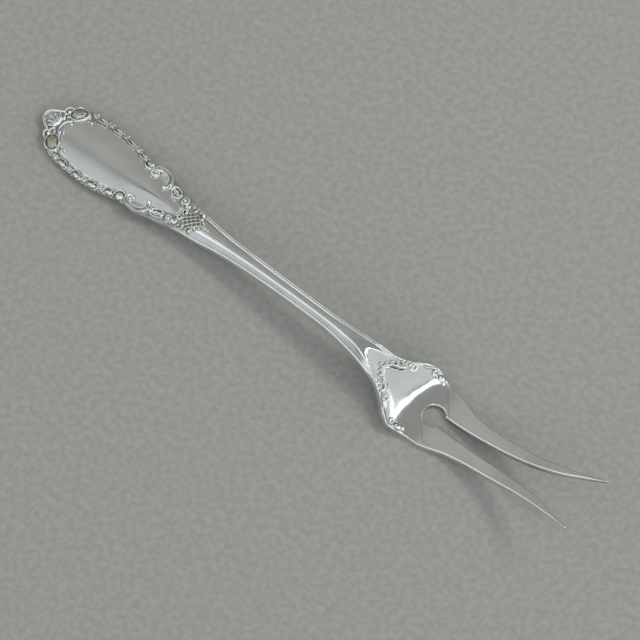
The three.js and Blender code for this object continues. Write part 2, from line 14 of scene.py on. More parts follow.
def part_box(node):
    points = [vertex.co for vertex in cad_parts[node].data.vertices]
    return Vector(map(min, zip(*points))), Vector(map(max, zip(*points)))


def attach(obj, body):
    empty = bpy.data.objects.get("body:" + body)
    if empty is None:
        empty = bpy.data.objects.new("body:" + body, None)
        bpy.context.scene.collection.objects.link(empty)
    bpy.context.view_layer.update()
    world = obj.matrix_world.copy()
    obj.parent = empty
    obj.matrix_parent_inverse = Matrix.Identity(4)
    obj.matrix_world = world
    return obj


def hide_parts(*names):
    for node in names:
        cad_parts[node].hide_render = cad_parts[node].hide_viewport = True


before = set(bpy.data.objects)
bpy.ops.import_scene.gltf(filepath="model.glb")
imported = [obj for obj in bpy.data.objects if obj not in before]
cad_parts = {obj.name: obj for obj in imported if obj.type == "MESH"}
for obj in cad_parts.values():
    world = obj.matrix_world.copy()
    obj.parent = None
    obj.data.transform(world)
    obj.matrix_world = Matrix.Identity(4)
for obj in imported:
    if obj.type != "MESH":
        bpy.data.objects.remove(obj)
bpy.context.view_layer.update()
MM = 0.001

# Lengths of the blank's four stretches
HANDLE_LENGTH = 47.5
STEM_LENGTH = 50.5
HEAD_LENGTH = 18.5
TINE_LENGTH = 41.4
STEM_START = HANDLE_LENGTH
HEAD_START = STEM_START + STEM_LENGTH
TINE_START = HEAD_START + HEAD_LENGTH
FORK_END = TINE_START + TINE_LENGTH

# Half widths and the keyhole
HANDLE_HALF = 8.05
HEAD_HALF = 8.76
KEYHOLE_RADIUS = 2.63
KEYHOLE_CENTRE = TINE_START - 0.91 * KEYHOLE_RADIUS
KEYHOLE_START = KEYHOLE_CENTRE - KEYHOLE_RADIUS
KEYHOLE_ROUNDED = KEYHOLE_START + 0.3
SLOT_HALF = 1.42
SLOT_START = KEYHOLE_CENTRE + math.sqrt(KEYHOLE_RADIUS**2 - SLOT_HALF**2)

# Relief of the handle: a crowned panel, two small steps round it and a border that falls to the edge
PANEL_SLOPE = 0.25
PANEL_SINK = 0.1
PANEL_END = 41
PANEL_STEP = 0.42
STEP_GAP = 0.34
STEP_HALF = 0.12
BORDER_DROP = 0.3
BORDER_GROWTH = (1.08, 0.84, 1.12, 0.9)

# Relief of the stem: a crown that ends in a wedge at the neck, and two threads along each edge
CROWN_PITCH = 0.32
CROWN_START = (41, 47)
NECK_FADE = (90.6, 97.6)
NECK_WEDGE = 1.5
NECK_POINT = 0.8
THREAD_HALF = 0.19
THREAD_RISE = 0.2
THREAD_ZONE = 0.9
OUTER_THREAD = 0.23
INNER_THREAD = 0.65
GROOVE = 0.455
GROOVE_HALF = 0.08

# Relief of the head: a dish with a rim
HEAD_DISH = 0.9
DISH_START = 90
RIM_AT = 0.36
RIM_HALF = 0.34
RIM_RISE = 0.3

# Where along the blank each relief begins and ends
SUNK_STRETCH = ((9, 12), (34, 38))
STEP_STRETCH = ((8, 11), (26, 31))
BORDER_STRETCH = ((3, 8), (33, 40))
OUTER_THREAD_STRETCH = ((37, 40), (96, 100))
INNER_THREAD_STRETCH = ((37, 40), (92, 98))
RIM_STRETCH = ((96, 100), (104, 111))
MOULDED_STRETCH = ((37, 40), (104, 111))

# Rounded edges, and the wear where the fork stands
EDGE_ROUND = 0.3
HEAD_EDGE_ROUND = 0.08
TINE_ROUND = 0.32
BACK_ROUND = 0.35
REST_WEAR = 0.12

# How dark the bar is round its panel, between its threads and where its satin ends
GROUND_PATINA = 0.65
GROOVE_PATINA = 0.6
ROOT_PATINA = 0.35

# Skin of the ornaments
RELIEF_VOXEL = 0.055
RELIEF_SINK = 0.2
RELIEF_PEAK = 0.6
FOOT_WIDTH = 0.15
NECK_FOOT_WIDTH = 0.07
FOOT_RISE = 0.05
FOOT_START = 0.4
FOOT_INSET = 0.12
SEAT_INSET = 0.3
HOLLOW_STEPS = 50
LATTICE_MIDDLE = 44.2
LATTICE_LENGTH = 5.0
LATTICE_PITCH = 1.4
LATTICE_GROUND = 0.05
LATTICE_RISE = 0.5


def ease(at, start, end):
    """0 before start, 1 after end, smooth between."""
    t = np.clip((np.asarray(at, float) - start) / (end - start), 0, 1)
    return t * t * (3 - 2 * t)


def over(s, begin, end):
    """1 on a stretch of the blank, 0 beyond it, smooth where it begins and ends."""
    return ease(s, *begin) * (1 - ease(s, *end))


def profile(stations, start=0.0, length=1.0, scale=1.0):
    """A smooth run through (share of a stretch, value) stations that never overshoots them."""
    place, value = np.array(stations, float).T
    place, value = start + length * place, scale * value
    chord = np.diff(value) / np.diff(place)
    slope = np.concatenate((chord[:1], np.zeros(len(chord) - 1), chord[-1:]))
    turning = chord[:-1] * chord[1:]
    both = chord[:-1] + chord[1:]
    same = turning > 0
    slope[1:-1][same] = 2 * turning[same] / both[same]

    def run(at):
        at = np.clip(np.asarray(at, float), place[0], place[-1])
        i = np.clip(np.searchsorted(place, at, side="right") - 1, 0, len(place) - 2)
        span = place[i + 1] - place[i]
        t = (at - place[i]) / span
        rise = (value[i + 1] - value[i]) * t * t * (3 - 2 * t)
        return value[i] + rise + t * (1 - t) * span * ((1 - t) * slope[i] - t * slope[i + 1])

    return run


# Outlines seen from above
handle_half = profile(
    [(0, 0.09), (0.025, 0.22), (0.07, 0.35), (0.09, 0.6), (0.116, 0.76), (0.16, 0.88), (0.23, 0.965),
     (0.333, 1), (0.423, 0.966), (0.505, 0.855), (0.594, 0.765), (0.665, 0.78), (0.747, 0.66), (0.838, 0.545),
     (0.905, 0.45), (1, 0.406)], 0, HANDLE_LENGTH, HANDLE_HALF)
panel_half = profile(
    [(5.45, 0.25), (5.75, 1.0), (6.4, 1.9), (7.2, 2.6), (7.9, 3.5), (8.6, 4.5), (9.4, 5.05), (10.6, 5.4),
     (12.6, 5.75), (14, 5.95), (15.8, 6.1), (20, 5.85), (24, 5.05), (28, 4.4), (30, 4.6), (31.5, 4.85),
     (33, 4.2), (34, 3.1), (35, 2.5), (37, 2.0), (39, 1.5), (40.2, 1.0), (PANEL_END, 0.5)])
stem_half = profile(
    [(0, 3.27), (0.13, 2.48), (0.31, 2.08), (0.55, 1.88), (0.68, 1.88), (0.84, 2.5), (1, 3.7)],
    STEM_START, STEM_LENGTH)
head_half = profile(
    [(0, 0.42), (0.1, 0.5), (0.25, 0.68), (0.39, 0.905), (0.52, 1), (0.66, 0.942), (0.8, 0.88), (0.94, 0.86),
     (1, 0.827)], HEAD_START, HEAD_LENGTH, HEAD_HALF)
tine_outer = profile(
    [(0, 7.28), (0.053, 6.62), (0.14, 5.66), (0.3, 5.07), (0.42, 5.03), (0.56, 5.08), (0.7, 5.43),
     (0.83, 6.06), (1, 7.03)], TINE_START, TINE_LENGTH)
tine_inner = profile(
    [(0, SLOT_HALF), (0.09, 1.46), (0.35, 1.87), (0.49, 2.22), (0.62, 2.76), (0.74, 3.59), (0.85, 4.86),
     (1, 6.68)], TINE_START, TINE_LENGTH)
blank_thickness = profile(
    [(0, 1.3), (38, 1.3), (47.5, 1.45), (62.5, 2.18), (83, 2.39), (98, 1.85), (104, 1.6), (116.5, 1.6),
     (141.3, 1.44), (157.9, 0.6)])
panel_crown = profile([(5.5, 0), (8, 0.42), (16, 0.6), (28, 0.56), (34, 0.5), (38, 0.3), (PANEL_END, 0)])
panel_ridge = profile([(5.5, 6.2), (19.5, 5.5), (28, 3.05), (33, 1.2), (38, 0.4), (PANEL_END, 0.4)])
head_dish = profile([(0, 0.15), (0.33, 1), (0.8, 0)], HEAD_START, HEAD_LENGTH, HEAD_DISH)

# Slope of the spine in degrees
spine_slope = profile(
    [(0, 1), (0.3 * HANDLE_LENGTH, 4.3), (0.7 * HANDLE_LENGTH, 4.3), (STEM_START + 0.09 * STEM_LENGTH, 6.916),
     (STEM_START + 0.41 * STEM_LENGTH, 5.2), (STEM_START + 0.72 * STEM_LENGTH, 3.016),
     (STEM_START + 0.86 * STEM_LENGTH, -1.508), (HEAD_START, -23),
     (HEAD_START + 0.35 * HEAD_LENGTH, -20.7), (HEAD_START + 0.76 * HEAD_LENGTH, -5.98),
     (TINE_START + 0.03 * TINE_LENGTH, 7), (TINE_START + 0.33 * TINE_LENGTH, 19),
     (TINE_START + 0.7 * TINE_LENGTH, 28.98), (FORK_END, 31.5)])


def half_width(s):
    """Half of the blank's width."""
    s = np.asarray(s, float)
    return np.select(
        [s < STEM_START, s < HEAD_START, s < TINE_START],
        [handle_half(s), stem_half(s), head_half(s)], tine_outer(s))


def inner_edge(s):
    """Where the keyhole and the slot begin beside the middle line."""
    s = np.asarray(s, float)
    hole = np.sqrt(np.clip(KEYHOLE_RADIUS**2 - (s - KEYHOLE_CENTRE) ** 2, 0, None))
    return np.select([s <= KEYHOLE_START, s <= SLOT_START, s < TINE_START], [0 * s, hole, SLOT_HALF + 0 * s],
                     tine_inner(s))


def half_round(distance, middle, half):
    """Section of a half-round thread of height 1."""
    return np.sqrt(np.clip(1 - ((distance - middle) / half) ** 2, 0, 1))


def rounded_edge(distance, radius):
    """How far a rounded edge falls away near its outline."""
    reach = np.clip(radius - distance, 0, radius)
    return radius - np.sqrt(np.clip(radius**2 - reach**2, 0, None))


def handle_relief(s, v, half):
    """The crowned panel, the steps round it and the fall of the border."""
    ridge = panel_ridge(s)
    inside = panel_half(s) - v
    lowest = -PANEL_SINK * over(s, *SUNK_STRETCH)
    panel = np.maximum(panel_crown(s) - PANEL_SLOPE * (np.sqrt(ridge**2 + v**2) - ridge), lowest)
    panel = panel * ease(inside, -0.25, 0.1) * (s < PANEL_END)
    steps = ease(-inside, -STEP_HALF, STEP_HALF) + ease(-inside, STEP_GAP - STEP_HALF, STEP_GAP + STEP_HALF)
    step = 0.5 * PANEL_STEP * steps * over(s, *STEP_STRETCH)
    border = np.clip(-inside / np.clip(half - panel_half(s), 0.5, None), 0, 1) ** 2
    return panel - step - BORDER_DROP * border * over(s, *BORDER_STRETCH)


def stem_crown(s, v, half):
    """The rounded face of the stem between its threads, run out in a wedge at the neck."""
    between = np.clip(half - THREAD_ZONE, 0.2, None)
    crown = CROWN_PITCH * between * np.clip(1 - (v / between) ** 2, 0, 1)
    wedge = NECK_WEDGE * (np.hypot(v, NECK_POINT) - NECK_POINT)
    return crown * ease(s, *CROWN_START) * (1 - ease(s - wedge, *NECK_FADE))


def mouldings(s, edge):
    """The threads along the stem's edges and the rim round the head, by the distance from the edge."""
    outer = over(s, *OUTER_THREAD_STRETCH) * half_round(edge, OUTER_THREAD, THREAD_HALF)
    inner = over(s, *INNER_THREAD_STRETCH) * half_round(edge, INNER_THREAD, THREAD_HALF)
    rim = over(s, *RIM_STRETCH) * half_round(edge, RIM_AT, RIM_HALF)
    return THREAD_RISE * (outer + inner) + RIM_RISE * rim


def face_height(s, v):
    """Height of the struck face above the flat back."""
    s = np.asarray(s, float)
    v = np.abs(np.asarray(v, float))
    half, inner = half_width(s), inner_edge(s)
    edge = np.clip(half - v, 0, None)
    dish = head_dish(s) * (v / half) ** 2 * ease(s, DISH_START, HEAD_START)
    struck = handle_relief(s, v, half) + stem_crown(s, v, half) + dish + mouldings(s, edge)
    radius = np.minimum(EDGE_ROUND + HEAD_EDGE_ROUND * ease(s, 100, 112), 0.35 * (half - inner))
    hole_radius = np.minimum(TINE_ROUND, 0.3 * (half - inner)) * ease(s, KEYHOLE_START, KEYHOLE_ROUNDED)
    fall = (1 - over(s, *MOULDED_STRETCH)) * rounded_edge(edge, radius)
    hole_fall = rounded_edge(np.clip(v - inner, 0, None), np.maximum(hole_radius, 1e-6))
    return blank_thickness(s) + struck - fall - hole_fall


# The spine, walked in short steps and levelled on the table
SPINE_STEPS = 1600
SPINE_STEP = FORK_END / SPINE_STEPS
SPINE_AT = np.linspace(0, FORK_END, SPINE_STEPS + 1)
LEVELLING_ROUNDS = 8


def walk_spine(tilt):
    """Places and angles along the spine when the whole fork is tilted."""
    angle = np.radians(spine_slope(SPINE_AT[:-1] + SPINE_STEP / 2)) + tilt
    along = np.concatenate(([0], np.cumsum(SPINE_STEP * np.cos(angle))))
    up = np.concatenate(([0], np.cumsum(SPINE_STEP * np.sin(angle))))
    return along, up, np.concatenate((angle[:1], angle))


def level_spine():
    """The fork rests on the handle's end and on the heel of its head."""
    handle_steps = int(HANDLE_LENGTH / SPINE_STEP)
    head_step = int(HEAD_START / SPINE_STEP)
    tilt = 0.0
    for _ in range(LEVELLING_ROUNDS):
        along, up, angle = walk_spine(tilt)
        low = np.argmin(up[:handle_steps])
        heel = head_step + np.argmin(up[head_step:])
        tilt -= math.atan2(up[heel] - up[low], along[heel] - along[low])
    along, up, angle = walk_spine(tilt)
    return along - along[-1] / 2, up - up[head_step:].min() - REST_WEAR, angle


SPINE_ALONG, SPINE_UP, SPINE_ANGLE = level_spine()


def bend(flat):
    """Flat blank places in millimetres, bent along the spine, in metres."""
    s, v, h = flat.T
    angle = np.interp(s, SPINE_AT, SPINE_ANGLE)
    along = np.interp(s, SPINE_AT, SPINE_ALONG) - h * np.sin(angle)
    up = np.interp(s, SPINE_AT, SPINE_UP) + h * np.cos(angle)
    return MM * np.stack((along, v, np.clip(up, 0, None)), 1)


# Modelling helpers
def deselect():
    bpy.ops.object.select_all(action="DESELECT")


def pick(*pieces):
    """Selects just these pieces, the last one active."""
    deselect()
    for piece in pieces:
        piece.select_set(True)
        bpy.context.view_layer.objects.active = piece


def places(piece):
    """A piece's vertex places as rows."""
    flat = np.empty(len(piece.data.vertices) * 3, np.float32)
    piece.data.vertices.foreach_get("co", flat)
    return flat.reshape(-1, 3).astype(float)


def set_places(piece, rows):
    piece.data.vertices.foreach_set("co", np.ascontiguousarray(rows, np.float32).reshape(-1))
    piece.data.update()


def mark(piece, name, values):
    """Keeps one number per vertex for the piece's finish."""
    layer = piece.data.attributes.new(name, "FLOAT", "POINT")
    layer.data.foreach_set("value", np.asarray(values, np.float32))


def marked(piece, name):
    """The numbers that were kept, one per vertex."""
    values = np.empty(len(piece.data.vertices), np.float32)
    piece.data.attributes[name].data.foreach_get("value", values)
    return values


def apply_modifier(piece, kind, **settings):
    pick(piece)
    modifier = piece.modifiers.new(kind.title(), kind)
    for key, value in settings.items():
        setattr(modifier, key, value)
    bpy.ops.object.modifier_apply(modifier=modifier.name)


def apply_place(piece):
    pick(piece)
    bpy.ops.object.transform_apply(location=True, rotation=True, scale=True)
    return piece


def face_outward():
    """Turns the active piece's faces outward."""
    bpy.ops.object.mode_set(mode="EDIT")
    bpy.ops.mesh.select_all(action="SELECT")
    bpy.ops.mesh.normals_make_consistent(inside=False)
    bpy.ops.object.mode_set(mode="OBJECT")


# The blank: handle, stem, head and tines forged as one bar
def blank_stations():
    """Places along the blank at which its section is set, close together where it changes fast."""
    turn = np.linspace(0, math.pi - math.asin(SLOT_HALF / KEYHOLE_RADIUS), 34)
    keyhole = KEYHOLE_CENTRE - KEYHOLE_RADIUS * np.cos(turn)
    return np.concatenate((
        np.linspace(0, 6, 25)[:-1], np.linspace(6, STEM_START, 110)[:-1],
        np.linspace(STEM_START, 91.5, 80)[:-1], np.linspace(91.5, HEAD_START, 48)[:-1],
        np.linspace(HEAD_START, KEYHOLE_START, 56)[:-1], keyhole[:-1],
        np.linspace(SLOT_START, TINE_START, 3)[:-1], np.linspace(TINE_START, TINE_START + 6, 22)[:-1],
        np.linspace(TINE_START + 6, FORK_END, 76)))


def blank_sections(stations):
    """Half sections of the bar: struck face, outer wall, back and inner wall, ending where they began."""
    s = stations[:, None]
    inner, outer = inner_edge(s), half_width(s)
    border = np.clip(outer - panel_half(s) + 0.5, THREAD_ZONE, None)
    zone = THREAD_ZONE + (border - THREAD_ZONE) * over(s, (5, 8), (38, 42))
    zone = np.minimum(zone, np.where(s < STEM_START, 0.7, 0.42) * (outer - inner))
    near_hole = np.array([[0, 0.03, 0.07, 0.12, 0.17, 0.24]])
    near_hole = inner + np.minimum(1, 0.4 * (outer - inner)) * near_hole
    middle = near_hole[:, -1:] + (outer - zone - near_hole[:, -1:]) * np.linspace(0, 1, 18)[1:][None]
    threads = outer - zone * np.linspace(1, 0, 33)[1:][None]
    face_v = np.concatenate((near_hole, middle, threads), 1)
    face_h = face_height(s + 0 * face_v, face_v)
    round_back = np.minimum(BACK_ROUND, 0.4 * face_h[:, -1:])
    round_back = np.minimum(round_back, 0.4 * (outer - inner))
    turn = np.linspace(0, math.pi / 2, 6)[None]
    wall_v = outer - round_back * (1 - np.cos(turn))
    wall_h = round_back * (1 - np.sin(turn))
    hole_back = round_back * 0.6 * ease(s, KEYHOLE_START, KEYHOLE_ROUNDED)
    back_v = wall_v[:, -1:] + (inner + hole_back - wall_v[:, -1:]) * np.linspace(0, 1, 9)[1:][None]
    inner_v = inner + hole_back * (1 - np.sin(turn[:, 1:]))
    inner_h = hole_back * (1 - np.cos(turn[:, 1:]))
    v = np.concatenate((face_v, wall_v, back_v, inner_v, face_v[:, :1]), 1)
    h = np.concatenate((face_h, wall_h, 0 * back_v, inner_h, face_h[:, :1]), 1)
    return np.stack((s + 0 * v, v, h), 2)


def mark_blank(blank):
    """Marks where the bar is satin, where patina darkens it and where shade is painted on the inner walls of
    the keyhole and the tines; the satin ends differently at the two tine roots.
    """
    s, v, h = places(blank).T
    across = np.abs(v)
    face = face_height(s, across)
    top = h > 0.55 * face
    panel = ease(panel_half(s) - across, -0.3, 0.3) * over(s, (5.5, 6.5), (40, 43))
    satin_panel = panel * (1 - 0.7 * ease(s, 24, 33))
    left_root = ease(s + 0.98 * v, 118.4, 119.1)
    right_root = ease(s - 0.95 * across, 109.9, 110.6)
    right_root = right_root * np.maximum(ease(6.1 - across, -0.2, 0.2), ease(s, 118, 124))
    tines = np.where(v > 0, left_root, right_root) * ease(s, 110, 111)
    root_line = top * (1 - ease(np.abs(tines - 0.5), 0.3, 0.5)) * (1 - ease(s, 117.5, 119))
    ground = (1 - panel) * (1 - ease(s, 41, 44)) * top
    edge = half_width(s) - across
    groove = top * (s > 38) * (s < 99) * np.clip(1 - np.abs(edge - GROOVE) / GROOVE_HALF, 0, 1)
    # Painted shade: the lower half of the inner walls of the keyhole, the slot and the tines is darkened as
    # if in shadow
    keyhole_wall_shade = (s > KEYHOLE_START) * (across - inner_edge(s) < 0.15) * (h < 0.5 * face)
    patina_and_shade = (GROUND_PATINA * ground, GROOVE_PATINA * groove, ROOT_PATINA * root_line, keyhole_wall_shade)
    mark(blank, "satin", np.maximum(satin_panel, tines))
    mark(blank, "patina_and_shade", np.maximum.reduce(patina_and_shade))
    mark(blank, "along", s)
    mark(blank, "across", v)
    mark(blank, "home", np.arange(len(s)))


def forge_blank():
    """The whole bar, bent, with its true surface normals."""
    sections = blank_sections(blank_stations())
    rows, columns = sections.shape[:2]
    deselect()
    bpy.ops.mesh.primitive_grid_add(x_subdivisions=columns - 1, y_subdivisions=rows - 1, size=1)
    blank = bpy.context.object
    blank.name = "forged_blank"
    set_places(blank, sections.reshape(-1, 3))
    bpy.ops.object.mode_set(mode="EDIT")
    bpy.ops.mesh.select_mode(type="FACE")
    bpy.ops.mesh.select_all(action="SELECT")
    bpy.ops.mesh.remove_doubles(threshold=1e-4)
    bpy.ops.mesh.select_all(action="DESELECT")
    bpy.ops.object.mode_set(mode="OBJECT")
    middle = np.abs(places(blank)[:, 1]) < 1e-4
    for face in blank.data.polygons:
        face.select = all(middle[i] for i in face.vertices)
    bpy.ops.object.mode_set(mode="EDIT")
    bpy.ops.mesh.delete(type="FACE")
    bpy.ops.object.mode_set(mode="OBJECT")
    across_only = (False, True, False)
    apply_modifier(blank, "MIRROR", use_axis=across_only, use_mirror_merge=True, merge_threshold=1e-3)
    bpy.ops.object.mode_set(mode="EDIT")
    bpy.ops.mesh.select_all(action="SELECT")
    bpy.ops.mesh.fill_holes(sides=0)
    bpy.ops.object.mode_set(mode="OBJECT")
    face_outward()
    mark_blank(blank)
    set_places(blank, bend(places(blank)))
    bpy.ops.object.shade_smooth()
    normals = np.empty(len(blank.data.vertices) * 3, np.float32)
    blank.data.vertex_normals.foreach_get("vector", normals)
    return blank, normals.reshape(-1, 3)


def cut_from_blank(blank, normals, name, start, end, side=0):
    """A stretch of the bar as its own closed piece, which keeps the bar's normals so that no seam shows."""
    piece = blank.copy()
    piece.data = blank.data.copy()
    piece.name = piece.data.name = name
    bpy.context.collection.objects.link(piece)
    pick(piece)
    mesh = piece.data
    along, across = marked(piece, "along"), marked(piece, "across")
    for face in mesh.polygons:
        corners = list(face.vertices)
        at = along[corners].mean()
        off_side = across[corners].mean() * side < 0
        face.select = bool(at < start or at > end or off_side)
    bpy.ops.object.mode_set(mode="EDIT")
    bpy.ops.mesh.select_mode(type="FACE")
    bpy.ops.mesh.delete(type="FACE")
    bpy.ops.mesh.select_all(action="SELECT")
    bpy.ops.mesh.fill_holes(sides=0)
    bpy.ops.mesh.quads_convert_to_tris(quad_method="BEAUTY", ngon_method="BEAUTY")
    bpy.ops.object.mode_set(mode="OBJECT")
    home = marked(piece, "home").astype(int)
    for extra in ("home", "along", "across"):
        mesh.attributes.remove(mesh.attributes[extra])
    mesh.normals_split_custom_set_from_vertices(normals[home])
    return piece


# Relief elements, modelled flat on the plane of the face
def turned(centre, along, across, angle):
    """Places given along and across an axis, turned by an angle about a centre."""
    return (centre[0] + along * math.cos(angle) - across * math.sin(angle),
            centre[1] + along * math.sin(angle) + across * math.cos(angle))


def bead(s, v, radius, rise):
    """A round grain."""
    deselect()
    bpy.ops.mesh.primitive_uv_sphere_add(segments=16, ring_count=10, radius=radius, location=(s, v, 0))
    grain = bpy.context.object
    grain.scale.z = rise / radius
    return apply_place(grain)


def smooth_path(points, count=48):
    """A smooth path through a few points."""
    points = np.array(points, float)
    knots = np.concatenate(([0], np.cumsum(np.linalg.norm(np.diff(points, axis=0), axis=1))))
    at = np.linspace(0, knots[-1], count)
    before = np.vstack((2 * points[0] - points[1], points, 2 * points[-1] - points[-2]))
    i = np.clip(np.searchsorted(knots, at, side="right") - 1, 0, len(points) - 2)
    t = ((at - knots[i]) / (knots[i + 1] - knots[i]))[:, None]
    a, b, c, d = before[i], before[i + 1], before[i + 2], before[i + 3]
    return 0.5 * (2 * b + (c - a) * t + (2 * a - 5 * b + 4 * c - d) * t**2 + (3 * b - a - 3 * c + d) * t**3)


def spiral(centre, outer, inner, start, turns):
    """A volute's path, wound inwards from its outer radius; turns below zero wind the other way."""
    t = np.linspace(0, 1, 48)
    radius = outer * (inner / outer) ** t
    angle = math.radians(start) + 2 * math.pi * turns * t
    return np.stack((centre[0] + radius * np.cos(angle), centre[1] + radius * np.sin(angle)), 1)


def wire(path, halves, rise):
    """A half-round band along a path; halves are its half widths at even steps along it."""
    path = np.asarray(path, float)
    deselect()
    bpy.ops.curve.primitive_nurbs_path_add()
    band = bpy.context.object
    curve = band.data
    curve.splines.clear()
    line = curve.splines.new("POLY")
    line.points.add(len(path) - 1)
    rows = np.concatenate((path, np.zeros((len(path), 1)), np.ones((len(path), 1))), 1)
    line.points.foreach_set("co", rows.reshape(-1))
    share = np.linspace(0, 1, len(path))
    line.points.foreach_set("radius", np.interp(share, np.linspace(0, 1, len(halves)), halves))
    curve.bevel_depth = 1
    curve.bevel_resolution = 3
    curve.use_fill_caps = True
    curve.twist_mode = "Z_UP"
    band.scale.z = rise / max(halves)
    bpy.ops.object.convert(target="MESH")
    return apply_place(band)


def wire_pair(path, halves, rise):
    """The same band on both sides of the middle line."""
    return [wire(path, halves, rise), wire(path * (1, -1), halves, rise)]


def leaf(base, tip, width, rise, lobes, rib):
    """A pointed acanthus leaf with a lobed edge and a sunk midrib."""
    base, tip = np.array(base, float), np.array(tip, float)
    deselect()
    bpy.ops.mesh.primitive_uv_sphere_add(segments=24, ring_count=24, radius=1, rotation=(0, math.pi / 2, 0))
    blade = apply_place(bpy.context.object)
    x, y, z = places(blade).T
    tapered = y * (1 - 0.55 * np.clip(x, 0, 1) ** 1.4) * (1 + 0.2 * np.cos(lobes * math.pi * (x + 1)))
    sunk = z * (1 - rib * np.exp(-((y / 0.22) ** 2)))
    length = np.linalg.norm(tip - base) / 2
    turn = math.atan2(*(tip - base)[::-1])
    blade_s, blade_v = turned((base + tip) / 2, length * x, width / 2 * tapered, turn)
    set_places(blade, np.stack((blade_s, blade_v, rise * sunk), 1))
    return blade


def shell(centre, length, width, turn, rise, ribs, flute=0.1):
    """A fluted oval boss, its long axis turned by an angle."""
    deselect()
    bpy.ops.mesh.primitive_uv_sphere_add(segments=48, ring_count=20, radius=1)
    boss = bpy.context.object
    x, y, z = places(boss).T
    around = np.arctan2(y, x)
    waist = 1 - flute * np.abs(np.sin(ribs * around / 2)) ** 0.6 * np.hypot(x, y) ** 1.5
    boss_s, boss_v = turned(centre, length / 2 * x * waist, width / 2 * y * waist, math.radians(turn))
    set_places(boss, np.stack((boss_s, boss_v, rise * z * waist), 1))
    return boss


def oval(centre, length, width, turn):
    """Path round an oval, its long axis turned by an angle."""
    angle = np.radians(360 * np.linspace(0, 1, 64))
    along, across = length / 2 * np.cos(angle), width / 2 * np.sin(angle)
    return np.stack(turned(centre, along, across, math.radians(turn)), 1)


def beside_edge(start, end, inset, count):
    """A path along the handle's outline, set in from it."""
    s = np.linspace(start, end, count)
    edge = np.stack((s, handle_half(s)), 1)
    run = np.gradient(edge, axis=0)
    run /= np.linalg.norm(run, axis=1)[:, None]
    return edge + inset * np.stack((run[:, 1], -run[:, 0]), 1)


def hollow_depth(piece):
    """How far each place of a relief lies below its neighbourhood."""
    mesh = piece.data
    ends = np.empty(len(mesh.edges) * 2, np.int32)
    mesh.edges.foreach_get("vertices", ends)
    first, second = ends.reshape(-1, 2).T
    count = len(mesh.vertices)
    met = np.bincount(first, minlength=count) + np.bincount(second, minlength=count)
    height = places(piece)[:, 2]
    level = height
    for _ in range(HOLLOW_STEPS):
        beside = np.bincount(first, level[second], count) + np.bincount(second, level[first], count)
        level = 0.5 * level + 0.5 * beside / met
    return level - height


def spread_foot(piece, width):
    """A thin foot that runs out round a relief, where the tarnish stays."""
    foot = piece.copy()
    foot.data = piece.data.copy()
    bpy.context.collection.objects.link(foot)
    apply_modifier(foot, "DISPLACE", strength=width, mid_level=0.0)
    s, v, z = places(foot).T
    s = np.maximum(s, FOOT_START)
    reach = half_width(s) - FOOT_INSET
    set_places(foot, np.stack((s, np.clip(v, -reach, reach), np.clip(z, -RELIEF_SINK, FOOT_RISE)), 1))
    return foot


def strike(name, elements, side=1, smooth=2, tarnish=None, foot=FOOT_WIDTH):
    """Joins relief elements and their foot into one skin, mirrors it to its side, seats it and bends it."""
    pick(*elements)
    bpy.ops.object.join()
    piece = bpy.context.object
    piece.name = piece.data.name = name
    rows = places(piece)
    rows[:, 2] = np.maximum(rows[:, 2], -RELIEF_SINK)
    set_places(piece, rows)
    pick(spread_foot(piece, foot), piece)
    bpy.ops.object.join()
    apply_modifier(piece, "REMESH", mode="VOXEL", voxel_size=RELIEF_VOXEL, adaptivity=0.0)
    apply_modifier(piece, "SMOOTH", factor=0.5, iterations=smooth)
    if side < 0:
        pick(piece)
        piece.scale.y = -1
        bpy.ops.object.transform_apply(location=False, rotation=False, scale=True)
    face_outward()
    s, v, z = places(piece).T
    mark(piece, "rise", np.clip(z / RELIEF_PEAK, 0, 1))
    mark(piece, "hollow", hollow_depth(piece))
    if tarnish:
        mark(piece, "tarnish", tarnish(s, np.abs(v), z))
    seat_v = np.minimum(np.abs(v), half_width(s) - SEAT_INSET)
    set_places(piece, bend(np.stack((s, v, z + face_height(s, seat_v)), 1)))
    bpy.ops.object.shade_smooth()
    return piece


def bead_pair(s, v, radius, rise):
    """The same grain on both sides of the middle line."""
    return [bead(s, v, radius, rise), bead(s, -v, radius, rise)]


# The ornaments
def tip_crest(name):
    """Rolled edges that meet at the handle's point, and a fan of petals between them."""
    edge = smooth_path([(0.5, 0), (0.75, 0.8), (1.45, 1.55), (2.25, 2.15), (3.0, 2.6)])
    made = [leaf((4.8, 0), (1.35, 0), 0.95, 0.9, 1.0, 0.55)]
    made += wire_pair(edge, (0.42, 0.46, 0.4), 0.95)
    for side in (1, -1):
        made.append(leaf((4.7, 0.35 * side), (1.95, 1.3 * side), 0.95, 0.9, 1.0, 0.55))
        made.append(leaf((4.6, 0.8 * side), (2.9, 2.15 * side), 0.95, 0.9, 1.0, 0.55))
        made.append(leaf((4.9, 1.35 * side), (4.0, 2.75 * side), 0.8, 0.8, 1.0, 0.55))
    made += bead_pair(3.35, 2.75, 0.38, 0.9)
    return strike(name, made)


